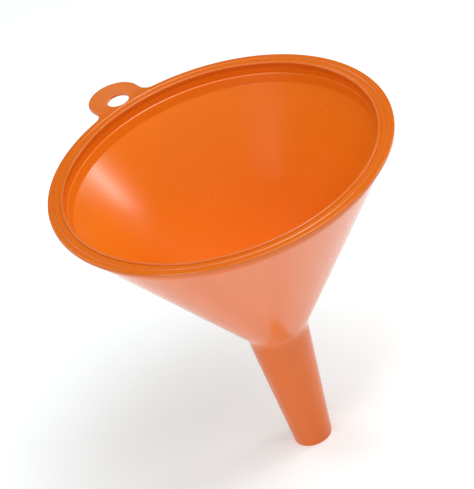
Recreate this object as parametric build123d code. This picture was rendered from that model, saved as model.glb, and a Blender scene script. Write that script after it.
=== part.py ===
from build123d import *
import os
from math import asin, atan, degrees, hypot, sqrt, tan

# Moulded plastic funnel, millimetres.
# Origin: on the axis, in the plane of the outlet. +Z: up the axis to the mouth.
# +Y: towards the hanging tab.
# The funnel is one moulding. Its features are separate solids that meet face to face.

# --- driving dimensions ---
HEIGHT = 157.0              # outlet to the flange's top face
RIM_RADIUS = 75.0           # outer edge of the flange
FLANGE_THICKNESS = 1.6
FLANGE_ROUNDING = 0.6       # radius along the flange's outer top edge

BEAD_RADIUS = 68.65         # middle of the raised bead round the mouth
BEAD_ROUND = 0.75           # radius of the bead's half-round top
BEAD_RISE = 0.5             # how far the bead stands above the flange

COLLAR_RADIUS = 72.3        # outside of the upright collar under the flange
COLLAR_DROP = 4.5           # from the flange's top face to the collar's lower outer corner
MOUTH_DROP = 9.4            # from the flange's top face to the inner corner above the cone
LEDGE_DROP = 5.1            # from the flange's top face to the fine ledge inside the mouth
LEDGE_WIDTH = 0.4
THROAT_RADIUS = 14.1        # outside, where the cone would meet the spout
THROAT_HEIGHT = 64.7
OUTLET_RADIUS = 8.8         # outside of the spout's end
CONE_WALL = 2.0
OUTLET_WALL = 1.6
THROAT_BLEND_OUT = 16.0     # radius of the hollow corner outside
THROAT_BLEND_IN = 12.0      # radius of the rounded edge inside
BAND_MARGIN = 1.1           # plain wall kept between a corner and the end of its piece

TAB_REACH = 93.4            # from the axis to the tab's tip
TAB_ROUND = 12.0            # half the tab's width, and the radius of its end
TAB_BLEND = 5.0             # hollow corner between the tab and the flange
TAB_ROOT = 72.2             # the tab's piece starts here, inside of the hanging hole
HOLE_RADIUS = 5.0
HOLE_DISTANCE = 78.5        # from the axis to the middle of the hanging hole

# --- derived sizes ---
FLANGE_UNDER = HEIGHT - FLANGE_THICKNESS
FLAT_RADIUS = RIM_RADIUS - FLANGE_ROUNDING
BEAD_OUTER = BEAD_RADIUS + sqrt(BEAD_ROUND**2 - (BEAD_ROUND - BEAD_RISE) ** 2)
BEAD_CENTRE = HEIGHT + BEAD_RISE - BEAD_ROUND
COLLAR_CORNER = HEIGHT - COLLAR_DROP
CONE_SLOPE = (COLLAR_RADIUS - THROAT_RADIUS) / (COLLAR_CORNER - THROAT_HEIGHT)
WALL_ACROSS = CONE_WALL * hypot(1.0, CONE_SLOPE)     # the cone's wall, cut level
MOUTH_CORNER = HEIGHT - MOUTH_DROP
MOUTH_RADIUS = BEAD_RADIUS - BEAD_ROUND
LEDGE = HEIGHT - LEDGE_DROP

BLEND_REACH = THROAT_BLEND_OUT * tan(atan(CONE_SLOPE) / 2)
BOWL_TOP = MOUTH_CORNER - BAND_MARGIN
THROAT_TOP = THROAT_HEIGHT + BLEND_REACH + BAND_MARGIN
THROAT_FOOT = THROAT_HEIGHT - BLEND_REACH - BAND_MARGIN


def outer_cone(z):
    return THROAT_RADIUS + (z - THROAT_HEIGHT) * CONE_SLOPE


def inner_cone(z):
    return outer_cone(z) - WALL_ACROSS


def inner_throat():
    """Radius and height where the inside of the cone meets the inside of the spout."""
    bore = OUTLET_RADIUS - OUTLET_WALL
    bore_slope = (THROAT_RADIUS - CONE_WALL - bore) / THROAT_HEIGHT
    height = (bore - inner_cone(0)) / (CONE_SLOPE - bore_slope)
    return inner_cone(height), height


def nearest_vertex(face, x, z):
    return face.vertices().sort_by_distance((x, 0, z))[0]


def wall_section():
    """Half section of collar, cone and spout, as one outline with blended throat."""
    throat_r, throat_z = inner_throat()
    outline = Polyline(
        (OUTLET_RADIUS, 0),
        (THROAT_RADIUS, THROAT_HEIGHT),
        (COLLAR_RADIUS, COLLAR_CORNER),
        (COLLAR_RADIUS, FLANGE_UNDER),
        (MOUTH_RADIUS, FLANGE_UNDER),
        (MOUTH_RADIUS, LEDGE),
        (MOUTH_RADIUS - LEDGE_WIDTH, LEDGE),
        (inner_cone(MOUTH_CORNER), MOUTH_CORNER),
        (throat_r, throat_z),
        (OUTLET_RADIUS - OUTLET_WALL, 0),
        close=True,
    )
    face = make_face(Plane.XZ * outline)
    face = fillet(nearest_vertex(face, THROAT_RADIUS, THROAT_HEIGHT), THROAT_BLEND_OUT)
    return fillet(nearest_vertex(face, throat_r, throat_z), THROAT_BLEND_IN)


def wall_between(low, high):
    """The stretch of the wall between two levels, as a solid of revolution."""
    level = (high + low) / 2
    band = Pos(RIM_RADIUS / 2, 0, level) * Box(RIM_RADIUS, 1, high - low)
    return revolve(wall_section() & band, Axis.Z)


def rim_bead():
    """Half-round bead at the flange's inner edge, over the mouth's upright wall."""
    shoulder = BEAD_ROUND / sqrt(2)
    crown = ThreePointArc(
        (BEAD_OUTER, HEIGHT),
        (BEAD_RADIUS - shoulder, BEAD_CENTRE + shoulder),
        (MOUTH_RADIUS, BEAD_CENTRE),
    )
    foot = Polyline(
        (MOUTH_RADIUS, BEAD_CENTRE),
        (MOUTH_RADIUS, FLANGE_UNDER),
        (BEAD_OUTER, FLANGE_UNDER),
        (BEAD_OUTER, HEIGHT),
    )
    return revolve(make_face(Plane.XZ * (crown + foot)), Axis.Z)


def tab_sector():
    """The slice of the rim that the tab and its two hollow corners take up."""
    half_angle = asin((TAB_ROUND + TAB_BLEND) / (RIM_RADIUS + TAB_BLEND))
    far = 2 * RIM_RADIUS
    side = far * tan(half_angle)
    return make_face(Polyline((0, 0), (side, far), (-side, far), close=True)) - Circle(TAB_ROOT)


def rim_flange():
    """Flat ring with a rounded outer edge, open where the tab joins it."""
    edge_top = HEIGHT - FLANGE_ROUNDING
    rounding = TangentArc((FLAT_RADIUS, HEIGHT), (RIM_RADIUS, edge_top), tangent=(1, 0))
    rest = Polyline(
        (RIM_RADIUS, edge_top),
        (RIM_RADIUS, FLANGE_UNDER),
        (BEAD_OUTER, FLANGE_UNDER),
        (BEAD_OUTER, HEIGHT),
        (FLAT_RADIUS, HEIGHT),
    )
    ring = revolve(make_face(Plane.XZ * (rounding + rest)), Axis.Z)
    return ring - extrude(Pos(0, 0, FLANGE_UNDER) * tab_sector(), FLANGE_THICKNESS)


def hanging_tab():
    """Round-ended tab, flush with the flange, with a hole to hang the funnel by."""
    end = TAB_REACH - TAB_ROUND
    tongue = Pos(0, end) * Circle(TAB_ROUND) + Pos(0, end / 2) * Rectangle(2 * TAB_ROUND, end)
    plate = Circle(RIM_RADIUS) + tongue
    corner = sqrt(RIM_RADIUS**2 - TAB_ROUND**2)
    for side in (-TAB_ROUND, TAB_ROUND):
        plate = fillet(plate.vertices().sort_by_distance((side, corner, 0))[0], TAB_BLEND)
    outline = (plate & tab_sector()) - Pos(0, HOLE_DISTANCE) * Circle(HOLE_RADIUS)
    return extrude(Pos(0, 0, FLANGE_UNDER) * outline, FLANGE_THICKNESS)


pieces = {
    "rim_bead": rim_bead(),
    "rim_flange": rim_flange(),
    "hanging_tab": hanging_tab(),
    "collar": wall_between(BOWL_TOP, FLANGE_UNDER),
    "bowl": wall_between(THROAT_TOP, BOWL_TOP),
    "throat": wall_between(THROAT_FOOT, THROAT_TOP),
    "spout": wall_between(0, THROAT_FOOT),
}

os.makedirs("parts", exist_ok=True)
for name, piece in pieces.items():
    export_step(piece, f"parts/{name}.step")
    print(name, round(piece.volume, 1))
print("cone half angle", round(degrees(asin(CONE_SLOPE / hypot(1.0, CONE_SLOPE))), 2))
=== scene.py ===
# %% [markdown]
# # A moulded plastic funnel
# The real thing is one shot of polyethylene from an injection mould: a cone with a short upright
# collar, a flat flange with a low bead round the mouth, a tapered spout, and a tab with a hole to hang
# it by. Nothing moves. It could be modelled as one lathe turn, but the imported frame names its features
# one by one, so each feature becomes a piece of its own, and the pieces meet edge to edge with matching
# normals, so the eye reads one moulding.

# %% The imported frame
import math

import bmesh
import bpy
from mathutils import Matrix, Vector


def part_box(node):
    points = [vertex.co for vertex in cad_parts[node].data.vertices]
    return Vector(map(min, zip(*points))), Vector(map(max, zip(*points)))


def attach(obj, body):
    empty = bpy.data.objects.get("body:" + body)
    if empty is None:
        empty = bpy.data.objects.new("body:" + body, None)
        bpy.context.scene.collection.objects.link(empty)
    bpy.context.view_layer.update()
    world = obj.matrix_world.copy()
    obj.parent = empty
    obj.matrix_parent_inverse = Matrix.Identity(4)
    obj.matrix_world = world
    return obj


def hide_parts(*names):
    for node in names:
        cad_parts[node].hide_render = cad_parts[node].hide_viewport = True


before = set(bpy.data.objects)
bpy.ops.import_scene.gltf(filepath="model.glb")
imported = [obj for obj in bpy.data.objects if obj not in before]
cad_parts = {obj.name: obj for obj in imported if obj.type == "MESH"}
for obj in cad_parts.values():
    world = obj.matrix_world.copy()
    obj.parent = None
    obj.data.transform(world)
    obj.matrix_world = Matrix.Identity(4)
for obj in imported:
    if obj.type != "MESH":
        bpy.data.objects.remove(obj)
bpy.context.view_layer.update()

# %% [markdown]
# ## Sizes
# Every size that the frame can give is read from its boxes: how far the flange, bead, collar, cone and
# spout reach, and where one stops and the next begins. Only what a box can't say, such as a wall
# thickness or a corner radius, is written here. Lengths are in metres, so MM keeps them readable.

# %% Sizes from the frame
MM = 0.001


def reach(node):
    """Largest radius, lowest level and highest level of a CAD node that is round about Z."""
    low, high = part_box(node)
    return max(high.x, -low.x), low.z, high.z


RIM_RADIUS, RIM_UNDER, RIM_TOP = reach("rim_flange")
BEAD_OUTER, _, BEAD_TOP = reach("rim_bead")
COLLAR_RADIUS, BOWL_TOP, _ = reach("collar")
_, THROAT_TOP, _ = reach("bowl")
_, THROAT_FOOT, _ = reach("throat")
TAB_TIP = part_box("hanging_tab")[1].y
print("rim radius, mm:", round(RIM_RADIUS / MM, 2), "tab tip, mm:", round(TAB_TIP / MM, 2))

# %% [markdown]
# ### Walls
# A moulding has walls of nearly even thickness, so that it cools evenly. Its outer skin is two straight
# slopes, the cone's and the spout's, and the inner skin follows each of them one wall further in. Four
# small functions give the radius of a skin at any level, so every section that is drawn later lands on
# the same skins, and the material can ask them where the inside is.

# %% Walls and slopes
WALL = 2.0 * MM              # cone wall, measured square to it
OUTLET_WALL = 1.6 * MM
OUTLET_RADIUS = 8.8 * MM
BORE_RADIUS = OUTLET_RADIUS - OUTLET_WALL
THROAT_RADIUS = 14.1 * MM    # where the cone and the spout would meet outside, with no blend
THROAT_LEVEL = 64.7 * MM
COLLAR_CORNER = RIM_TOP - 4.5 * MM    # where the cone and the collar would meet outside
STEPS_ROUND = 256            # one full turn; each flat is under 2 mm long at the rim

CONE_SLOPE = (COLLAR_RADIUS - THROAT_RADIUS) / (COLLAR_CORNER - THROAT_LEVEL)
SPOUT_SLOPE = (THROAT_RADIUS - OUTLET_RADIUS) / THROAT_LEVEL
BORE_SLOPE = (THROAT_RADIUS - WALL - BORE_RADIUS) / THROAT_LEVEL


def cone_outside(z):
    return THROAT_RADIUS + (z - THROAT_LEVEL) * CONE_SLOPE


def cone_inside(z):
    return cone_outside(z) - WALL * math.hypot(1.0, CONE_SLOPE)


def spout_outside(z):
    return OUTLET_RADIUS + z * SPOUT_SLOPE


def spout_inside(z):
    return BORE_RADIUS + z * BORE_SLOPE


print("cone half angle, degrees:", round(math.degrees(math.atan(CONE_SLOPE)), 1))
print("spout's inside at the throat, mm:", round(spout_inside(THROAT_LEVEL) / MM, 2))

# %% [markdown]
# ## Section outlines
# A turned part is drawn as half of its section: corners, each with the radius that the mould cutter
# left there. A corner is rounded by the usual fillet construction. Long straight stretches get extra
# points close to their ends, so that smooth shading stays flat along them and only the rounded corner
# itself shades as a curve.

# %% Rounded corner
ARC_STEPS = 8
NO_TURN = 1e-4               # radians; a smaller turn than this is no corner


def arc_at(before, corner, after, radius):
    """Points of the arc that rounds a corner, from the first leg to the second."""
    into, out = (corner - before).normalized(), (after - corner).normalized()
    turn = into.angle(out)
    if radius <= 0 or turn < NO_TURN:
        return [corner]
    start = corner - into * radius * math.tan(turn / 2)
    side = math.copysign(1.0, into.x * out.y - into.y * out.x)
    centre = start + Vector((-into.y, into.x)) * side * radius
    spoke = start - centre
    points = []
    for step in range(ARC_STEPS + 1):
        a = side * turn * step / ARC_STEPS
        swung = (spoke.x * math.cos(a) - spoke.y * math.sin(a),
                 spoke.x * math.sin(a) + spoke.y * math.cos(a))
        points.append(centre + Vector(swung))
    return points


sample = arc_at(Vector((0, 0)), Vector((1, 0)), Vector((1, 1)), 0.5)
print("the corner at (1, 0), rounded by 0.5, takes", len(sample), "points from", tuple(sample[0]))

# %% Whole outline
HOLD = 0.2 * MM              # distance of the holding point from a corner
LONGEST = 3.0 * MM           # longest straight run of one face


def straight_between(a, b):
    """Points inside a straight stretch: one held close to each end, and even ones between."""
    length = (b - a).length
    if length < 4 * HOLD:
        return []
    inner = length - 2 * HOLD
    count = max(1, math.ceil(inner / LONGEST))
    return [a.lerp(b, (HOLD + inner * i / count) / length) for i in range(count + 1)]


def outline(corners):
    """Closed outline from (radius, level, rounding) corners."""
    spots = [Vector((r, z)) for r, z, _ in corners]
    arcs = []
    for i, (_, _, rounding) in enumerate(corners):
        arcs.append(arc_at(spots[i - 1], spots[i], spots[(i + 1) % len(spots)], rounding))
    points = []
    for i, arc in enumerate(arcs):
        points += arc + straight_between(arc[-1], arcs[(i + 1) % len(arcs)][0])
    return points


print("points on a 10 mm run:", len(straight_between(Vector((0, 0)), Vector((10 * MM, 0)))))

# %% [markdown]
# ## Node trees
# Both the lathe and the plastic below are node trees. One helper adds a node with its settings and its
# links, so that a tree reads from top to bottom like a recipe. A setting is a property of the node if
# the node has one of that name, and an input otherwise. Inputs that share a name go by their number.

# %% Adding a node
def add_node(tree, kind, settings=None, links=None):
    """Adds one node, sets its inputs or properties by name, and links its inputs."""
    node = tree.nodes.new(kind)
    for name, value in (settings or {}).items():
        if isinstance(name, str) and hasattr(node, name):
            setattr(node, name, value)
        else:
            node.inputs[name].default_value = value
    for name, socket in (links or {}).items():
        tree.links.new(socket, node.inputs[name])
    return node


# %% [markdown]
# ### Uneven shrinkage
# Thin moulded walls shrink a little unevenly as they cool, so the wall is pushed in and out by a slow
# noise, by less than a tenth of a millimetre. The stiff rim hardly moves, so the push fades out towards
# it. The noise reads the position alone, so two pieces that meet are pushed the same way and stay
# joined. It could be a Displace modifier, but then each piece would need its own texture.

# %% Uneven shrinkage
FADE_DEPTH = 40 * MM         # this far below the rim level, the wall moves in full


def shrinkage(tree, given):
    """Offset of each point outwards from the axis, none at the rim."""
    place = add_node(tree, "GeometryNodeInputPosition").outputs["Position"]
    split = add_node(tree, "ShaderNodeSeparateXYZ", None, {"Vector": place})
    scale = add_node(tree, "ShaderNodeMath", {"operation": "DIVIDE", 0: 1.0},
                     {1: given["Shrink spacing"]})
    noise = add_node(tree, "ShaderNodeTexNoise", {"Detail": 1.0, "Roughness": 0.4},
                     {"Vector": place, "Scale": scale.outputs["Value"]})
    centred = add_node(tree, "ShaderNodeMath", {"operation": "SUBTRACT", 1: 0.5},
                       {0: noise.outputs["Fac"]})
    below = add_node(tree, "ShaderNodeMath", {"operation": "SUBTRACT"},
                     {0: given["Rim level"], 1: split.outputs["Z"]})
    fade = add_node(tree, "ShaderNodeMath", {"operation": "MULTIPLY", 1: 1 / FADE_DEPTH, "use_clamp": True},
                    {0: below.outputs["Value"]})
    amount = add_node(tree, "ShaderNodeMath", {"operation": "MULTIPLY"},
                      {0: centred.outputs["Value"], 1: fade.outputs["Value"]})
    push = add_node(tree, "ShaderNodeMath", {"operation": "MULTIPLY"},
                    {0: amount.outputs["Value"], 1: given["Shrink"]})
    flat = add_node(tree, "ShaderNodeVectorMath", {"operation": "MULTIPLY", 1: (1, 1, 0)}, {0: place})
    outward = add_node(tree, "ShaderNodeVectorMath", {"operation": "NORMALIZE"},
                       {0: flat.outputs["Vector"]})
    offset = add_node(tree, "ShaderNodeVectorMath", {"operation": "SCALE"},
                      {0: outward.outputs["Vector"], "Scale": push.outputs["Value"]})
    return offset.outputs["Vector"]


# %% [markdown]
# ### The lathe
# A lathe turns one section round an axis. In Geometry Nodes that is a circle as the rail and the
# section as the profile of Curve to Mesh, so one small tree makes every round piece. A Screw modifier
# could turn a section too, but the tree also shrinks the wall, marks the real edges as sharp and gives
# the plastic in one go.

# %% Turning a section
def turned_section(tree, given):
    """The section turned round the Z axis."""
    # the rail's radius is 1, so the section is drawn 1 nearer the axis, and upside down
    rail_radius = 1.0
    rail = add_node(tree, "GeometryNodeCurvePrimitiveCircle",
                    {"Radius": rail_radius}, {"Resolution": given["Steps round"]})
    upright = add_node(tree, "GeometryNodeSetCurveNormal", {"mode": "Z_UP"},
                       {"Curve": rail.outputs["Curve"]})
    section = add_node(tree, "GeometryNodeMeshToCurve", None, {"Mesh": given["Section"]})
    placed = add_node(tree, "GeometryNodeTransform",
                      {"Translation": (-rail_radius, 0, 0), "Scale": (1, -1, 1)},
                      {"Geometry": section.outputs["Curve"]})
    turned = add_node(tree, "GeometryNodeCurveToMesh", None,
                      {"Curve": upright.outputs["Curve"], "Profile Curve": placed.outputs["Geometry"]})
    return turned.outputs["Mesh"]


# %% The lathe tree
LATHE_INPUTS = {
    "Steps round": "NodeSocketInt",
    "Shrink": "NodeSocketFloat",
    "Shrink spacing": "NodeSocketFloat",
    "Rim level": "NodeSocketFloat",
    "Sharp above": "NodeSocketFloat",
    "Plastic": "NodeSocketMaterial",
}


def build_lathe():
    tree = bpy.data.node_groups.new("turn_on_the_axis", "GeometryNodeTree")
    tree.interface.new_socket("Section", in_out="INPUT", socket_type="NodeSocketGeometry")
    for name, kind in LATHE_INPUTS.items():
        tree.interface.new_socket(name, in_out="INPUT", socket_type=kind)
    tree.interface.new_socket("Turned", in_out="OUTPUT", socket_type="NodeSocketGeometry")
    given = add_node(tree, "NodeGroupInput").outputs
    pushed = add_node(tree, "GeometryNodeSetPosition", None,
                      {"Geometry": turned_section(tree, given), "Offset": shrinkage(tree, given)})

    # smooth everywhere but at real edges
    edge = add_node(tree, "GeometryNodeInputMeshEdgeAngle")
    sharp = add_node(tree, "FunctionNodeCompare", {"operation": "GREATER_THAN"},
                     {0: edge.outputs["Unsigned Angle"], 1: given["Sharp above"]})
    smooth = add_node(tree, "GeometryNodeSetShadeSmooth", {"domain": "FACE"},
                      {"Geometry": pushed.outputs["Geometry"]})
    creased = add_node(tree, "GeometryNodeSetShadeSmooth", {"domain": "EDGE", "Shade Smooth": False},
                       {"Geometry": smooth.outputs["Geometry"], "Selection": sharp.outputs["Result"]})
    real = add_node(tree, "GeometryNodeRealizeInstances", None,
                    {"Geometry": creased.outputs["Geometry"]})
    dressed = add_node(tree, "GeometryNodeSetMaterial", None,
                       {"Geometry": real.outputs["Geometry"], "Material": given["Plastic"]})
    add_node(tree, "NodeGroupOutput", None, {"Turned": dressed.outputs["Geometry"]})
    return tree


lathe = build_lathe()
print("lathe tree:", len(lathe.nodes), "nodes")

# %% [markdown]
# ## The plastic
# The real one is polyethylene with an orange pigment. It comes out of a polished steel mould, so it is
# smooth and glossy outside, and a little more satin in the mouth, where the mould's core is left less
# polished. What the eye gets from that is a strong even colour, soft wide reflections of bright
# surroundings, and, in the mouth, colour that deepens where light bounces from wall to wall. An image
# could carry all this, but every cause here follows the shape or a noise, so nodes do it better.

# %% Colours
def linear(code):
    """Linear RGBA from an sRGB hex code."""
    channels = [int(code[i:i + 2], 16) / 255 for i in (1, 3, 5)]
    return [c / 12.92 if c <= 0.04045 else ((c + 0.055) / 1.055) ** 2.4 for c in channels] + [1.0]


ORANGE_PALE = linear("#EE7C18")
ORANGE_DEEP = linear("#E87611")
# redder outside: painted shade, for the light through the wall that only the mouth gets
ORANGE_OUTSIDE_PAINTED_SHADE = linear("#E86A0E")
# deeper rim: painted shade, as the solid rim lets no light through
ORANGE_RIM_PAINTED_SHADE = linear("#DA6A12")
# paler orange where rubbed: a painted sheen, for the highlight that these places catch
ORANGE_WEAR_AND_PAINTED_SHEEN = linear("#E2844C")
MIX_A, MIX_B, MIX_RESULT = 6, 7, 2    # a Mix node's colour sockets, whose names others share
print("pale orange, linear:", [round(c, 3) for c in ORANGE_PALE])

# %% [markdown]
# ### Inside and outside
# Several finishes stop at the wall: the inside and the outside of a moulding touch different steel, and
# the light that comes through the wall, which is painted into their colours, reaches them differently.
# The two skins are straight slopes, so how far a point lies below the outer one is simple sums on its
# position. That needs no mask painted in an image, and it holds for every piece.

# %% Inside mask
def radius_and_level(tree, place):
    """A point's distance from the axis, and its coordinates apart."""
    split = add_node(tree, "ShaderNodeSeparateXYZ", None, {"Vector": place})
    flat = add_node(tree, "ShaderNodeVectorMath", {"operation": "MULTIPLY", 1: (1, 1, 0)}, {0: place})
    radius = add_node(tree, "ShaderNodeVectorMath", {"operation": "LENGTH"}, {0: flat.outputs["Vector"]})
    return radius.outputs["Value"], split.outputs


def inside_mask(tree, radius, level):
    """0 on the outer skin, cone's or spout's, and 1 on the inner one."""
    cone_skin = add_node(tree, "ShaderNodeMath",
                         {"operation": "MULTIPLY_ADD", 1: CONE_SLOPE, 2: cone_outside(0)}, {0: level})
    spout_skin = add_node(tree, "ShaderNodeMath",
                          {"operation": "MULTIPLY_ADD", 1: SPOUT_SLOPE, 2: spout_outside(0)}, {0: level})
    skin = add_node(tree, "ShaderNodeMath", {"operation": "MAXIMUM"},
                    {0: cone_skin.outputs["Value"], 1: spout_skin.outputs["Value"]})
    under_skin = add_node(tree, "ShaderNodeMath", {"operation": "SUBTRACT"},
                          {0: skin.outputs["Value"], 1: radius})
    mask = add_node(tree, "ShaderNodeMapRange", {"From Min": 0.4 * WALL, "From Max": 0.8 * WALL},
                    {"Value": under_skin.outputs["Value"]})
    return mask.outputs["Result"]


# %% [markdown]
# ### Pigment and painted light
# The pigment is stirred into the melt, and it never spreads quite evenly. The light that comes through the
# thin wall into the mouth is painted in: the mouth is painted yellower and the outside redder. The rim is
# solid and lets no light through at all, so it is painted deeper, as painted shade. Real translucency
# would do this too, but it costs far more render time than a few mixed colours.

# %% Pigment and painted light
SWIRL = 40 * MM              # length of a swirl, too faint to see as a pattern
OUTSIDE_PAINTED_SHADE_SHARE = 0.85         # of the redder outside colour, a painted shade; the rest is left to the swirls
RIM_SHADE_SOFTEN = 1 * MM          # over this height the cone's colour turns into the rim's painted shade


def pigment_and_painted_light(tree, place, level, inside):
    swirl = add_node(tree, "ShaderNodeTexNoise",
                     {"Scale": 1 / SWIRL, "Detail": 3.0, "Distortion": 0.6}, {"Vector": place})
    stirred = add_node(tree, "ShaderNodeMix",
                       {"data_type": "RGBA", MIX_A: ORANGE_DEEP, MIX_B: ORANGE_PALE},
                       {"Factor": swirl.outputs["Fac"]})
    # the outside is painted redder as shade, for the light through the wall that only the mouth gets
    outside_shade_mix = add_node(tree, "ShaderNodeMapRange", {"To Min": OUTSIDE_PAINTED_SHADE_SHARE, "To Max": 0.0},
                       {"Value": inside})
    painted_through_light = add_node(tree, "ShaderNodeMix", {"data_type": "RGBA", MIX_B: ORANGE_OUTSIDE_PAINTED_SHADE},
                      {"Factor": outside_shade_mix.outputs["Result"], MIX_A: stirred.outputs[MIX_RESULT]})
    # painted shade: the rim is painted deeper for the light that can't come through it
    rim_shade_mask = add_node(tree, "ShaderNodeMapRange",
                     {"From Min": RIM_UNDER - RIM_SHADE_SOFTEN, "From Max": RIM_UNDER}, {"Value": level})
    rim_painted_shade = add_node(tree, "ShaderNodeMix", {"data_type": "RGBA", MIX_B: ORANGE_RIM_PAINTED_SHADE},
                    {"Factor": rim_shade_mask.outputs["Result"], MIX_A: painted_through_light.outputs[MIX_RESULT]})
    return rim_painted_shade.outputs[MIX_RESULT]


# %% [markdown]
# ### Rubbing and painted sheen
# Hands and hooks rub the bead's crest and the tab and leave them duller. Their paler colour is a painted
# sheen, standing in for the highlight that these places catch. Wear is never even, so both come in
# patches. The crest is found by its level and the tab by how far it lies along Y.

# %% Rubbing and painted sheen
CREST_FROM = RIM_TOP + 0.1 * MM
CREST_WEAR_AND_SHEEN = 0.3              # how far the bead's crest goes towards the paler colour, a painted sheen, and towards duller gloss
TAB_FROM, TAB_FULL = RIM_RADIUS - 3 * MM, RIM_RADIUS + 5 * MM
TAB_WEAR_AND_SHEEN = 0.55               # and the tab
PATCH = 15 * MM              # size of a patch
PATCH_FROM, PATCH_FULL = 0.3, 0.6
LEAST_WEAR_AND_SHEEN = 0.55             # between the patches the rubbing and painted sheen fall to this share


def wear_and_painted_sheen(tree, place, level, along):
    """How far each point is rubbed, which also sets its painted sheen, and the patches that break both up.
    """
    crest = add_node(tree, "ShaderNodeMapRange",
                     {"From Min": CREST_FROM, "From Max": BEAD_TOP, "To Max": CREST_WEAR_AND_SHEEN},
                     {"Value": level})
    held = add_node(tree, "ShaderNodeMapRange",
                    {"From Min": TAB_FROM, "From Max": TAB_FULL, "To Max": TAB_WEAR_AND_SHEEN}, {"Value": along})
    most = add_node(tree, "ShaderNodeMath", {"operation": "MAXIMUM"},
                    {0: crest.outputs["Result"], 1: held.outputs["Result"]})
    patch = add_node(tree, "ShaderNodeTexNoise", {"Scale": 1 / PATCH, "Detail": 4.0},
                     {"Vector": place})
    broken = add_node(tree, "ShaderNodeMapRange",
                      {"From Min": PATCH_FROM, "From Max": PATCH_FULL, "To Min": LEAST_WEAR_AND_SHEEN},
                      {"Value": patch.outputs["Fac"]})
    wear_and_sheen = add_node(tree, "ShaderNodeMath", {"operation": "MULTIPLY"},
                    {0: most.outputs["Value"], 1: broken.outputs["Result"]})
    return wear_and_sheen.outputs["Value"], patch.outputs["Fac"]


# %% [markdown]
# ### Polish
# The gloss is not one number. It drifts between patches with handling, it dulls where the plastic is
# rubbed, and it is lower in the mouth than outside.

# %% Polish
BRIGHT_POLISH, DULL_POLISH = 0.07, 0.12    # roughness of the untouched plastic, patch by patch
RUB_DULLING = 0.15           # added where it is fully rubbed
CORE_SATIN = 0.17            # added inside


def polish(tree, patch, wear_and_sheen, inside):
    patchy = add_node(tree, "ShaderNodeMapRange", {"To Min": BRIGHT_POLISH, "To Max": DULL_POLISH},
                      {"Value": patch})
    dulled = add_node(tree, "ShaderNodeMath", {"operation": "MULTIPLY_ADD", 1: RUB_DULLING},
                      {0: wear_and_sheen, 2: patchy.outputs["Result"]})
    satin = add_node(tree, "ShaderNodeMath", {"operation": "MULTIPLY_ADD", 1: CORE_SATIN},
                     {0: inside, 2: dulled.outputs["Value"]})
    return satin.outputs["Value"]


# %% [markdown]
# ### The whole material
# The pieces above meet in one shader. The last touch is the fine grain that the mould's steel leaves on
# the plastic. It gives the highlights a soft edge.

# %% Orange moulded polyethylene
POLYETHYLENE_IOR = 1.51
GRAIN = 0.6 * MM             # drawn coarser than the real grain, so that it shows
GRAIN_DEPTH = 0.02 * MM


def moulded_orange_polyethylene():
    """Glossy orange plastic: an even strong colour under soft wide reflections."""
    material = bpy.data.materials.new("moulded_orange_polyethylene")
    material.use_nodes = True
    tree = material.node_tree
    shader = tree.nodes["Principled BSDF"]
    shader.inputs["IOR"].default_value = POLYETHYLENE_IOR
    place = add_node(tree, "ShaderNodeTexCoord").outputs["Object"]
    radius, along = radius_and_level(tree, place)
    inside = inside_mask(tree, radius, along["Z"])
    wear_and_sheen, patch = wear_and_painted_sheen(tree, place, along["Z"], along["Y"])
    # paler where rubbed: a painted sheen, on top of the real dulling of the gloss
    worn_with_sheen = add_node(tree, "ShaderNodeMix", {"data_type": "RGBA", MIX_B: ORANGE_WEAR_AND_PAINTED_SHEEN},
                    {"Factor": wear_and_sheen, MIX_A: pigment_and_painted_light(tree, place, along["Z"], inside)})
    grain = add_node(tree, "ShaderNodeTexNoise", {"Scale": 1 / GRAIN, "Detail": 2.0},
                     {"Vector": place})
    bump = add_node(tree, "ShaderNodeBump", {"Strength": 0.08, "Distance": GRAIN_DEPTH},
                    {"Height": grain.outputs["Fac"]})
    tree.links.new(worn_with_sheen.outputs[MIX_RESULT], shader.inputs["Base Color"])
    tree.links.new(polish(tree, patch, wear_and_sheen, inside), shader.inputs["Roughness"])
    tree.links.new(bump.outputs["Normal"], shader.inputs["Normal"])
    return material


plastic = moulded_orange_polyethylene()
print("material:", plastic.name, "with", len(plastic.node_tree.nodes), "nodes")

# %% [markdown]
# ## Turning the round pieces
# Each piece is drawn as an edge loop, the lathe tree is hung on it as a modifier, and the evaluated
# result is kept as a plain mesh. The modifier's inputs are set by their identifiers, because names are
# only labels. Doubles are merged and the faces are turned outwards afterwards, as any lathe can turn a
# shape inside out.

# %% Cleaning a mesh
MERGE_WITHIN = 1e-7          # metres


def finish_mesh(mesh):
    """Merges doubles, turns the faces outwards and counts the edges that are left open."""
    work = bmesh.new()
    work.from_mesh(mesh)
    bmesh.ops.remove_doubles(work, verts=work.verts, dist=MERGE_WITHIN)
    bmesh.ops.recalc_face_normals(work, faces=work.faces)
    loose = sum(1 for e in work.edges if len(e.link_faces) != 2)
    work.to_mesh(mesh)
    work.free()
    return loose


def place_piece(mesh):
    """Puts a finished mesh into the scene, at the origin."""
    piece = bpy.data.objects.new(mesh.name, mesh)
    bpy.context.scene.collection.objects.link(piece)
    return piece


# %% From section to mesh
WEAK_EDGE = math.radians(35)
SHRINK = 0.25 * MM           # from the noise's lowest to its highest, so half of it to each side at most
SHRINK_SPACING = 45 * MM


def socket_id(tree, name):
    return next(s.identifier for s in tree.interface.items_tree
                if s.name == name and s.in_out == "INPUT")


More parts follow.
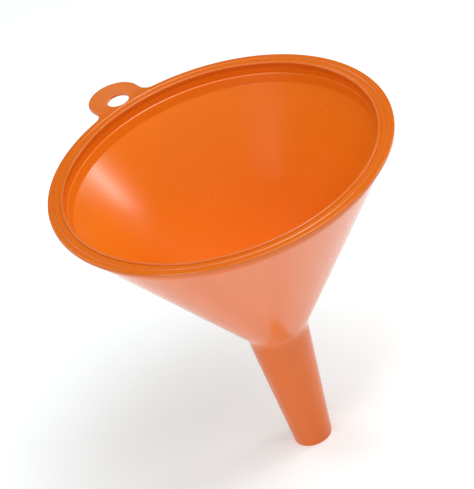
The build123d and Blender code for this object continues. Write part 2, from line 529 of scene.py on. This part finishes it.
def turn(name, corners):
    points = outline(corners)
    count = len(points)
    drawing = bpy.data.meshes.new(name + "_section")
    drawing.from_pydata([(p.x, p.y, 0) for p in points],
                        [(i, (i + 1) % count) for i in range(count)], [])
    blank = place_piece(drawing)
    modifier = blank.modifiers.new("lathe", "NODES")
    modifier.node_group = lathe
    settings = {"Steps round": STEPS_ROUND, "Shrink": SHRINK, "Shrink spacing": SHRINK_SPACING,
                "Rim level": COLLAR_CORNER, "Sharp above": WEAK_EDGE, "Plastic": plastic}
    for socket, value in settings.items():
        modifier[socket_id(lathe, socket)] = value
    graph = bpy.context.evaluated_depsgraph_get()
    mesh = bpy.data.meshes.new_from_object(blank.evaluated_get(graph), depsgraph=graph)
    bpy.data.objects.remove(blank)
    mesh.name = name
    loose = finish_mesh(mesh)
    print(name, "faces:", len(mesh.polygons), "open edges:", loose)
    return place_piece(mesh)


def stand_for(piece, *nodes):
    """The piece rides the one body and hides its CAD nodes."""
    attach(piece, "root")
    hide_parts(*nodes)


# %% [markdown]
# ### Cone
# The bowl is a plain cone shell of even wall. It stops in the middle of straight wall at both ends, so
# that the joint to its neighbours falls where nothing bends and can't be seen.

# %% Cone
cone = turn("cone", [
    (cone_inside(THROAT_TOP), THROAT_TOP, 0),
    (cone_outside(THROAT_TOP), THROAT_TOP, 0),
    (cone_outside(BOWL_TOP), BOWL_TOP, 0),
    (cone_inside(BOWL_TOP), BOWL_TOP, 0),
])
stand_for(cone, "bowl")

# %% [markdown]
# ### Mouth
# The mouth's upright wall runs up to the inner foot of the bead. The bead is half round, so where it
# meets the flange's level follows from its rounding, and the mouth's radius follows from that.

# %% Mouth
BEAD_ROUND = 0.75 * MM
BEAD_CENTRE = BEAD_TOP - BEAD_ROUND
MOUTH_RADIUS = BEAD_OUTER - BEAD_ROUND - math.sqrt(BEAD_ROUND**2 - (RIM_TOP - BEAD_CENTRE) ** 2)
print("mouth radius, mm:", round(MOUTH_RADIUS / MM, 2))

# %% [markdown]
# ### Collar
# Above the cone the wall turns upright. Inside it does so in two steps: a nearly upright band above the
# cone, a fine ledge, and the mouth's wall above that. The ledge is what the next funnel in a stack
# rests on, so it is worn to a slope, and its nose catches a thread of light. Outside, one soft corner
# joins the collar to the cone.

# %% Collar
COLLAR_BLEND = 6 * MM                 # rounding of the corner outside
MOUTH_CORNER = RIM_TOP - 9.4 * MM     # where the band turns into the cone, inside
MOUTH_BLEND = 0.8 * MM
LEDGE = RIM_TOP - 5.0 * MM
LEDGE_WIDTH = 0.4 * MM
LEDGE_FALL = 0.35 * MM                # how far it slopes down inwards
LEDGE_FOOT = 0.1 * MM                 # rounding where it meets the wall above
LEDGE_NOSE = 0.25 * MM                # and at its worn edge

collar = turn("collar_wall", [
    (cone_inside(BOWL_TOP), BOWL_TOP, 0),
    (cone_outside(BOWL_TOP), BOWL_TOP, 0),
    (COLLAR_RADIUS, COLLAR_CORNER, COLLAR_BLEND),
    (COLLAR_RADIUS, RIM_UNDER, 0),
    (MOUTH_RADIUS, RIM_UNDER, 0),
    (MOUTH_RADIUS, LEDGE, LEDGE_FOOT),
    (MOUTH_RADIUS - LEDGE_WIDTH, LEDGE - LEDGE_FALL, LEDGE_NOSE),
    (cone_inside(MOUTH_CORNER), MOUTH_CORNER, MOUTH_BLEND),
])
stand_for(collar, "collar")

# %% [markdown]
# ### Bead
# The lip of the mouth is a half-round bead that stands a little proud of the flange. It is what the
# lathe does best: the rounded top is one arc, so its highlight runs unbroken round the mouth.

# %% Bead
BEAD_CROWN_OUT = 0.68 * MM   # roundings of the crown, a little less than half the bead's width
BEAD_CROWN_IN = 0.72 * MM

bead = turn("mouth_bead", [
    (MOUTH_RADIUS, RIM_UNDER, 0),
    (BEAD_OUTER, RIM_UNDER, 0),
    (BEAD_OUTER, BEAD_TOP, BEAD_CROWN_OUT),
    (MOUTH_RADIUS, BEAD_TOP, BEAD_CROWN_IN),
])
stand_for(bead, "rim_bead")
print("bead proud of the flange by, mm:", round((BEAD_TOP - RIM_TOP) / MM, 2))

# %% [markdown]
# ### Throat
# Where the cone meets the spout the mould has a generous blend, hollow outside and rounded inside. The
# inner corner is where the two inner skins cross, which is a little higher than the outer one.

# %% Throat
THROAT_BLEND_OUT = 16 * MM
THROAT_BLEND_IN = 12 * MM
INNER_CORNER = (BORE_RADIUS - cone_inside(0)) / (CONE_SLOPE - BORE_SLOPE)

throat = turn("throat_bend", [
    (spout_inside(THROAT_FOOT), THROAT_FOOT, 0),
    (spout_outside(THROAT_FOOT), THROAT_FOOT, 0),
    (THROAT_RADIUS, THROAT_LEVEL, THROAT_BLEND_OUT),
    (cone_outside(THROAT_TOP), THROAT_TOP, 0),
    (cone_inside(THROAT_TOP), THROAT_TOP, 0),
    (cone_inside(INNER_CORNER), INNER_CORNER, THROAT_BLEND_IN),
])
stand_for(throat, "throat")

# %% [markdown]
# ### Spout
# The spout tapers, so that the moulding slides off its core. Its end is cut off square, and the cut
# has small broken edges.

# %% Spout
OUTLET_BREAK_IN = 0.3 * MM
OUTLET_BREAK_OUT = 0.5 * MM

spout = turn("spout_tube", [
    (spout_inside(0), 0, OUTLET_BREAK_IN),
    (spout_outside(0), 0, OUTLET_BREAK_OUT),
    (spout_outside(THROAT_FOOT), THROAT_FOOT, 0),
    (spout_inside(THROAT_FOOT), THROAT_FOOT, 0),
])
stand_for(spout, "spout")

# %% [markdown]
# ## Flange and tab
# The flange is a flat ring with a rounded edge, and the tab grows out of it with hollow corners. Its
# outline isn't round, so a lathe can't make it. Instead the outline is walked station by station. Each
# station knows its place, its outward direction and how much the edge is rounded there, a little more
# on the flange than on the tab, and carries one section of the plate.

# %% The tab's outline
TAB_ROUND = 12 * MM          # radius of the tab's end
TAB_BLEND = 5 * MM           # radius of the hollow corners beside it
HOLE_RADIUS = 5 * MM
HOLE_DISTANCE = 78.5 * MM    # from the axis to the middle of the hole
HOLE_MARGIN = 0.63 * MM      # flat that the tab keeps between the hole and the ring, for the hole's edge
FLAT_RADIUS = HOLE_DISTANCE - HOLE_RADIUS - HOLE_MARGIN    # where the tab's own mesh takes over
TAB_CENTRE = TAB_TIP - TAB_ROUND
BLEND_SIDE = TAB_ROUND + TAB_BLEND
SECTOR = math.asin(BLEND_SIDE / (RIM_RADIUS + TAB_BLEND))    # half the turn that the tab takes up
BLEND_LEVEL = (RIM_RADIUS + TAB_BLEND) * math.cos(SECTOR)
print("the tab takes up, degrees of the rim:", round(math.degrees(2 * SECTOR), 1))

# %% Stations on the tab
FLANGE_ROUND = 0.6 * MM      # rounding along the flange's outer top edge
TAB_EDGE_ROUND = 0.45 * MM   # and along the tab's
BLEND_STEPS = 14
FLANK_SHARES = (0.33, 0.67)  # places along the short straight flank
END_STEPS = 24               # over the quarter turn of the tab's end


def half_tab_stations():
    """Stations from the flange to the tab's tip on the +X side: (place, outward, rounding)."""
    stations = []
    for i in range(BLEND_STEPS + 1):
        share = i / BLEND_STEPS
        a = SECTOR + share * (math.pi / 2 - SECTOR)
        spoke = Vector((-math.sin(a), -math.cos(a)))
        ease = share * share * (3 - 2 * share)
        rounding = FLANGE_ROUND + (TAB_EDGE_ROUND - FLANGE_ROUND) * ease
        stations.append((Vector((BLEND_SIDE, BLEND_LEVEL)) + spoke * TAB_BLEND, -spoke, rounding))
    for share in FLANK_SHARES:
        side = Vector((TAB_ROUND, BLEND_LEVEL + share * (TAB_CENTRE - BLEND_LEVEL)))
        stations.append((side, Vector((1, 0)), TAB_EDGE_ROUND))
    for i in range(END_STEPS + 1):
        a = math.pi / 2 * i / END_STEPS
        way = Vector((math.cos(a), math.sin(a)))
        stations.append((Vector((0, TAB_CENTRE)) + way * TAB_ROUND, way, TAB_EDGE_ROUND))
    return stations


right_half = half_tab_stations()
left_half = [(Vector((-p.x, p.y)), Vector((-n.x, n.y)), r) for p, n, r in right_half[-2::-1]]
tab_stations = right_half + left_half
print("stations on the tab:", len(tab_stations))

# %% Stations on the flange
OPEN_TURN = 2 * math.pi - 2 * SECTOR
RIM_STEPS = round(STEPS_ROUND * OPEN_TURN / (2 * math.pi))

rim_stations = []
for i in range(RIM_STEPS + 1):
    a = math.pi / 2 + SECTOR + OPEN_TURN * i / RIM_STEPS
    way = Vector((math.cos(a), math.sin(a)))
    rim_stations.append((way * RIM_RADIUS, way, FLANGE_ROUND))
print("stations on the flange:", len(rim_stations))

# %% [markdown]
# ### The plate's edge
# The edge is a quarter round from the flat top to the upright side, then a small broken corner
# underneath. Holding points on the flats, just past each rounding, keep them flat under smooth shading.

# %% Edge section
UNDER_BREAK = 0.25 * MM
QUARTER_STEPS = 5


def quarter(inset, level, radius, top):
    """Quarter round between the upright edge and a flat, as (inset, level), from above down."""
    points = []
    for step in range(QUARTER_STEPS + 1):
        a = math.pi / 2 * step / QUARTER_STEPS
        if top:
            points.append((inset + radius * (1 - math.sin(a)), level - radius * (1 - math.cos(a))))
        else:
            points.append((inset + radius * (1 - math.cos(a)), level + radius * (1 - math.sin(a))))
    return points


def edge_section(place, outward, rounding):
    """Points from the top flat, over the edge, to the flat underneath."""
    points = [(rounding + HOLD, RIM_TOP)]
    points += quarter(0, RIM_TOP, rounding, top=True)
    points += quarter(0, RIM_UNDER, UNDER_BREAK, top=False)
    points.append((UNDER_BREAK + HOLD, RIM_UNDER))
    spots = [(place - outward * inset, z) for inset, z in points]
    return [(at.x, at.y, z) for at, z in spots]


EDGE_COUNT = len(edge_section(*rim_stations[0]))
print("points over the edge:", EDGE_COUNT)

# %% [markdown]
# ### The ring's top
# The ring carries a shallow groove beside the bead and a fine raised line further out, both of which
# the mould cutter leaves as concentric marks. They are drawn as points along a radius, with half a
# cosine wave for the groove's slope and a whole one for the line. A bump in the material could draw
# them too, but they catch the light in profile, so they are shape.

# %% The ring's top
GROOVE_WIDTH = 0.75 * MM
GROOVE_DEPTH = 0.22 * MM
LINE_HALF = 0.42 * MM        # half the raised line's width
LINE_RADIUS = FLAT_RADIUS - 2 * HOLD - LINE_HALF
LINE_HEIGHT = 0.3 * MM
LINE_STEPS = 6


def flange_top():
    """The flange's top from the bead outwards, as (radius, level)."""
    points = []
    for step in range(QUARTER_STEPS + 1):
        share = step / QUARTER_STEPS
        dip = GROOVE_DEPTH * (1 + math.cos(math.pi * share)) / 2
        points.append((BEAD_OUTER + GROOVE_WIDTH * share, RIM_TOP - dip))
    points.append((points[-1][0] + HOLD, RIM_TOP))
    points.append((LINE_RADIUS - LINE_HALF - HOLD, RIM_TOP))
    for step in range(LINE_STEPS + 1):
        share = 2 * step / LINE_STEPS - 1
        rise = LINE_HEIGHT * (1 + math.cos(math.pi * share)) / 2
        points.append((LINE_RADIUS + LINE_HALF * share, RIM_TOP + rise))
    points.append((LINE_RADIUS + LINE_HALF + HOLD, RIM_TOP))
    return points


print("raised line at radius, mm:", round(LINE_RADIUS / MM, 2))

# %% [markdown]
# ### Flange ring
# One closed section stands at every station, and a skin joins each to the next, right round. The
# rounded edge runs all the way except under the tab. There the sections fold back to an upright face,
# which is where the tab's own mesh takes over.

# %% Sections of the ring
def on_radius(place, radius, z):
    way = place.normalized()
    return (way.x * radius, way.y * radius, z)


def ring_section(place, edge):
    foot = on_radius(place, BEAD_OUTER, RIM_UNDER)
    return [foot] + [on_radius(place, radius, z) for radius, z in flange_top()] + edge


def folded_edge(place):
    """The ring's edge under the tab: an upright face, with as many points as the rounded edge."""
    rungs = EDGE_COUNT - 3
    edge = [on_radius(place, FLAT_RADIUS - HOLD, RIM_TOP)]
    edge += [on_radius(place, FLAT_RADIUS, RIM_TOP + (RIM_UNDER - RIM_TOP) * i / rungs)
             for i in range(rungs + 1)]
    edge.append(on_radius(place, FLAT_RADIUS - HOLD, RIM_UNDER))
    return edge


sections = [ring_section(p, edge_section(p, n, r)) for p, n, r in rim_stations]
sections += [ring_section(p, folded_edge(p)) for p, n, r in tab_stations]
print("sections round the ring:", len(sections), "of", len(sections[0]), "points")

# %% Skinning and shading
def skin_round(name, sections):
    """Skins a closed row of sections, each a closed loop of as many points, into one mesh."""
    verts = [v for section in sections for v in section]
    size = len(sections[0])
    faces = []
    for i in range(len(sections)):
        a, b = i * size, (i + 1) % len(sections) * size
        for j in range(size):
            k = (j + 1) % size
            faces.append((a + j, a + k, b + k, b + j))
    mesh = bpy.data.meshes.new(name)
    mesh.from_pydata(verts, [], faces)
    return mesh


def shade(mesh):
    """Cleans a mesh and smooths it, with real edges kept sharp."""
    loose = finish_mesh(mesh)
    work = bmesh.new()
    work.from_mesh(mesh)
    for face in work.faces:
        face.smooth = True
    for edge in work.edges:
        edge.smooth = len(edge.link_faces) == 2 and edge.calc_face_angle() < WEAK_EDGE
    work.to_mesh(mesh)
    work.free()
    mesh.materials.append(plastic)
    print(mesh.name, "faces:", len(mesh.polygons), "open edges:", loose)
    return place_piece(mesh)


flange = shade(skin_round("flange", sections))
stand_for(flange, "rim_flange")

# %% [markdown]
# ### Tab with its hole
# The tab's rim is the same walk along the outline. Its flats can't be skinned station by station,
# because the hole is in the way, so they are filled afterwards between the edge loop and the hole's
# loop. The hole has its own small broken edges, top and bottom.

# %% The hole's wall
HOLE_STEPS = 64
HOLE_BREAK = 0.3 * MM


def hole_section():
    """Points of the hole's wall from the top flat to the flat underneath, as (radius, level)."""
    points = [(HOLE_RADIUS + HOLE_BREAK + HOLD, RIM_TOP)]
    points += quarter(HOLE_RADIUS, RIM_TOP, HOLE_BREAK, top=True)
    points += quarter(HOLE_RADIUS, RIM_UNDER, HOLE_BREAK, top=False)
    points.append((HOLE_RADIUS + HOLE_BREAK + HOLD, RIM_UNDER))
    return points


def hole_rings(work):
    """Rings of vertices down the hole's wall."""
    rings = []
    for radius, z in hole_section():
        ring = []
        for i in range(HOLE_STEPS):
            a = 2 * math.pi * i / HOLE_STEPS
            ring.append(work.verts.new((radius * math.cos(a), HOLE_DISTANCE + radius * math.sin(a), z)))
        rings.append(ring)
    return rings


print("rings down the hole:", len(hole_section()))

# %% Filling between rows
def strip(work, rows, closed):
    """Fills quads between neighbouring rows of vertices."""
    for a, b in zip(rows[:-1], rows[1:]):
        for i in range(len(a) if closed else len(a) - 1):
            k = (i + 1) % len(a)
            work.faces.new((a[i], a[k], b[k], b[i]))


def fill_flat(work, loop, ring):
    """Fills the flat between an outer loop and the hole's ring."""
    border = []
    for verts in (loop, ring):
        for i, v in enumerate(verts):
            other = verts[(i + 1) % len(verts)]
            border.append(work.edges.get((v, other)) or work.edges.new((v, other)))
    bmesh.ops.triangle_fill(work, use_beauty=True, edges=border)


# %% Hanging tab
def build_tab():
    work = bmesh.new()
    edges = [edge_section(p, n, r) for p, n, r in tab_stations]
    rows = [[work.verts.new(e[j]) for e in edges] for j in range(EDGE_COUNT)]
    strip(work, rows, closed=False)
    top_inner = [work.verts.new(on_radius(p, FLAT_RADIUS, RIM_TOP)) for p, n, r in tab_stations]
    foot_inner = [work.verts.new(on_radius(p, FLAT_RADIUS, RIM_UNDER)) for p, n, r in tab_stations]
    strip(work, [foot_inner, top_inner], closed=False)
    hole = hole_rings(work)
    strip(work, hole, closed=True)
    for end in (0, -1):
        work.faces.new([foot_inner[end], top_inner[end]] + [row[end] for row in rows])
    fill_flat(work, top_inner + rows[0][::-1], hole[0])
    fill_flat(work, foot_inner + rows[-1][::-1], hole[-1])
    mesh = bpy.data.meshes.new("hang_tab")
    work.to_mesh(mesh)
    work.free()
    return mesh


tab = shade(build_tab())
stand_for(tab, "hanging_tab")

# %% [markdown]
# ## Camera
# A long lens from well back keeps the mouth's ellipse honest. The camera looks down into the mouth from
# the side away from the tab and is rolled, so that the funnel leans in the view.

# %% Camera
LENS_MM = 184.05             # on a sensor 36 mm along its longer side
SENSOR_MM = 36.0
VIEW_AZIMUTH = math.radians(-25.0)
VIEW_ELEVATION = math.radians(35.3)
VIEW_ROLL = math.radians(-19.14)
VIEW_DISTANCE = 1064.7 * MM
AIM_LEVEL = 117 * MM
AIM_RIGHT, AIM_UP = -3.11 * MM, -4.94 * MM    # small shift of the aim across the view
CLIP_NEAR, CLIP_FAR = 0.05, 20.0              # metres; the table ends within them

back = Vector((math.sin(VIEW_AZIMUTH) * math.cos(VIEW_ELEVATION),
               -math.cos(VIEW_AZIMUTH) * math.cos(VIEW_ELEVATION),
               math.sin(VIEW_ELEVATION)))
level_right = Vector((math.cos(VIEW_AZIMUTH), math.sin(VIEW_AZIMUTH), 0))
level_up = back.cross(level_right)
right = level_right * math.cos(VIEW_ROLL) + level_up * math.sin(VIEW_ROLL)
up = level_up * math.cos(VIEW_ROLL) - level_right * math.sin(VIEW_ROLL)

lens = bpy.data.cameras.new("camera")
lens.sensor_width = SENSOR_MM
lens.lens = LENS_MM
lens.clip_start, lens.clip_end = CLIP_NEAR, CLIP_FAR
camera = bpy.data.objects.new("camera", lens)
bpy.context.scene.collection.objects.link(camera)
seat = Vector((0, 0, AIM_LEVEL)) + right * AIM_RIGHT + up * AIM_UP + back * VIEW_DISTANCE
facing = Matrix((right, up, back)).transposed().to_4x4()
camera.matrix_world = Matrix.Translation(seat) @ facing
bpy.context.scene.camera = camera
print("camera at, mm:", [round(c / MM) for c in seat])

# %% [markdown]
# ## Table
# A product is often shown on a backlit white table, which glows a little itself and so keeps the shadow
# faint. The pale side of the cone is that table, seen in the gloss. A plain white floor under brighter
# lamps would be white too, but its shadow would be far darker.

# %% Backlit white table
TABLE_HALF = 6.0             # metres, so that its edge is never in view
TABLE_WHITE = "#EAF4F5"      # slightly cool, which evens out the warm light that the funnel throws on it
TABLE_ROUGHNESS = 0.9
TABLE_GLOW = 0.30


def backlit_white_table():
    """Opal acrylic over lamps: matt, and bright even where it is shaded."""
    material = bpy.data.materials.new("backlit_white_table")
    material.use_nodes = True
    shader = material.node_tree.nodes["Principled BSDF"]
    shader.inputs["Base Color"].default_value = linear(TABLE_WHITE)
    shader.inputs["Roughness"].default_value = TABLE_ROUGHNESS
    shader.inputs["Emission Color"].default_value = (1, 1, 1, 1)
    shader.inputs["Emission Strength"].default_value = TABLE_GLOW
    return material


table_mesh = bpy.data.meshes.new("floor")
table_corners = [(x * TABLE_HALF, y * TABLE_HALF, 0) for x, y in ((-1, -1), (1, -1), (1, 1), (-1, 1))]
table_mesh.from_pydata(table_corners, [], [(0, 1, 2, 3)])
table_mesh.materials.append(backlit_white_table())
table = place_piece(table_mesh)
print("table half width, m:", TABLE_HALF)

# %% [markdown]
# ## Room and softboxes
# The room itself is dim, so that the orange stays strong wherever the gloss mirrors no lamp. A broad
# group of softboxes overhead lights the mouth and drops a soft shadow on the table, with the key a
# little to the right. One small bright window low on the right draws the highlight inside the mouth,
# and a wide dim one round it softens its edge. Two fills on the left keep that side from going dark.

# %% Room
ROOM_BRIGHTNESS = 0.07

world = bpy.data.worlds.new("studio_room")
world.use_nodes = True
room = world.node_tree.nodes["Background"]
room.inputs["Color"].default_value = (1, 1, 1, 1)
room.inputs["Strength"].default_value = ROOM_BRIGHTNESS
bpy.context.scene.world = world
bpy.context.scene.view_settings.view_transform = "Standard"
print("room brightness:", ROOM_BRIGHTNESS)

# %% Softboxes
LAMP_DISTANCE = 1.3          # metres from the funnel
front = Vector((back.x, back.y, 0)).normalized()

# name, azimuth and elevation in degrees, width and height in metres, brightness
SOFTBOXES = (
    ("key", 47, 58, 0.4, 0.4, 7.0),
    ("key_high", 47, 80, 0.5, 0.5, 3.6),
    ("overhead_right", 90, 65, 0.6, 0.6, 4.6),
    ("overhead_front", 0, 62, 0.6, 0.6, 2.3),
    ("overhead_left", -60, 62, 0.6, 0.6, 2.0),
    ("window_right", 98, 19, 0.2, 0.24, 13.0),
    ("soft_right", 103, 18, 0.8, 0.5, 1.5),
    ("fill_left_front", -45, 12, 0.6, 0.6, 3.8),
    ("fill_left_behind", -140, 40, 0.6, 0.6, 2.3),
)


def softbox(name, azimuth, elevation, width, height, brightness):
    """A lamp facing the funnel; azimuth is from the camera's side round to its right."""
    round_about, rise = math.radians(azimuth), math.radians(elevation)
    way = (front * math.cos(round_about) + level_right * math.sin(round_about)) * math.cos(rise)
    way.z = math.sin(rise)
    lamp = bpy.data.lights.new(name, "AREA")
    lamp.shape = "RECTANGLE"
    lamp.size, lamp.size_y = width, height
    lamp.energy = brightness * math.pi * width * height
    holder = bpy.data.objects.new(name, lamp)
    bpy.context.scene.collection.objects.link(holder)
    holder.location = Vector((0, 0, AIM_LEVEL)) + way * LAMP_DISTANCE
    holder.rotation_mode = "QUATERNION"
    holder.rotation_quaternion = (-way).to_track_quat("-Z", "Y")
    return lamp.energy


watts = [softbox(*box) for box in SOFTBOXES]
print("softboxes:", len(watts), "with", round(sum(watts), 1), "W together")
